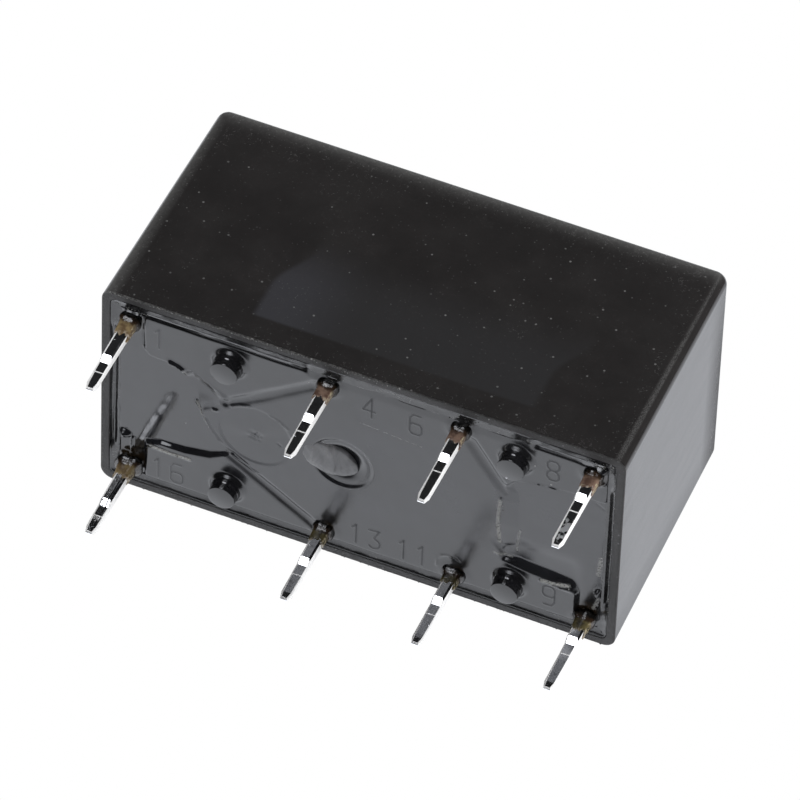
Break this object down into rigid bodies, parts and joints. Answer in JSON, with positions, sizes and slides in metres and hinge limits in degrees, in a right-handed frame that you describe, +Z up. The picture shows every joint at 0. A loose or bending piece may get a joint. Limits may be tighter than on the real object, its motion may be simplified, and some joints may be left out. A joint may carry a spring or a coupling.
{
  "type": "signal relay",
  "caption": "Sealed two-changeover signal relay for printed boards: black box cover, resin-sealed base with feet, flat coined terminals below, coil and contact train inside.",
  "frame": {"origin": "middle of the terminal pattern, on the board surface that the four feet stand on", "axes": "+Z up through the closed end of the cover, terminals point to -Z; +X along the rows of terminals from the coil terminals to the make terminals; -Y is the side of terminals 1, 4, 6 and 8"},
  "size_m": [0.02, 0.0098, 0.0138],
  "materials": {
    "cover_plastic": "moulded, slightly glossy black",
    "base_plastic": "moulded, glossy dark grey",
    "seal_resin": "glossy cured resin",
    "collar_resin": "amber to black glossy cured resin",
    "plug_resin": "cloudy grey cured resin",
    "tinned_terminal": "bright tin, slightly brushed",
    "bobbin_plastic": "moulded cream",
    "copper_wire": "enamelled copper",
    "coil_tape": "amber film",
    "soft_iron": "plated soft iron",
    "spring_bronze": "rolled bronze",
    "card_plastic": "moulded off-white",
    "contact_silver": "silver alloy"
  },
  "bodies": {
    "housing": {"cover": "cover_plastic", "base": "base_plastic", "rim_seal": "seal_resin", "terminal_seals": "collar_resin", "vent_plug": "plug_resin", "coil_terminal_1": "tinned_terminal", "coil_terminal_16": "tinned_terminal", "common_terminal_4": "tinned_terminal", "common_terminal_13": "tinned_terminal", "break_terminal_6": "tinned_terminal", "break_terminal_11": "tinned_terminal", "make_terminal_8": "tinned_terminal", "make_terminal_9": "tinned_terminal", "bobbin": "bobbin_plastic", "winding": "copper_wire", "coil_tape": "coil_tape", "coil_lead_1": "copper_wire", "coil_lead_16": "copper_wire", "core": "soft_iron", "yoke": "soft_iron", "hinge_spring": "spring_bronze", "break_contact_6": "contact_silver", "break_contact_11": "contact_silver", "make_contact_8": "contact_silver", "make_contact_9": "contact_silver"},
    "armature": {"armature": "soft_iron"},
    "card": {"card": "card_plastic"},
    "spring_4": {"moving_spring_4": "spring_bronze", "moving_contact_4": "contact_silver"},
    "spring_13": {"moving_spring_13": "spring_bronze", "moving_contact_13": "contact_silver"}
  },
  "joints": [
    {"name": "armature_hinge", "type": "hinge", "parent": "housing", "child": "armature", "pos_m": [-0.00792, 0, 0.00235], "axis": [0, 1, 0], "range_deg": [0, 4.5], "stiffness_Nm_per_rad": 0.01, "springref_deg": -5.73},
    {"name": "card_slide", "type": "slide", "parent": "housing", "child": "card", "axis": [1, 0, 0], "range_m": [0, 0.00053]},
    {"name": "spring_4_hinge", "type": "hinge", "parent": "housing", "child": "spring_4", "pos_m": [0.00635, -0.00305, 0.002], "axis": [0, 1, 0], "range_deg": [0, 4.4]},
    {"name": "spring_13_hinge", "type": "hinge", "parent": "housing", "child": "spring_13", "pos_m": [0.00635, 0.00305, 0.002], "axis": [0, 1, 0], "range_deg": [0, 4.4]}
  ],
  "couplings": [
    {"joint": "card_slide", "follows": "armature_hinge", "m_per_rad": 0.00657},
    {"joint": "spring_4_hinge", "follows": "armature_hinge", "ratio": 0.94942},
    {"joint": "spring_13_hinge", "follows": "armature_hinge", "ratio": 0.94942}
  ]
}
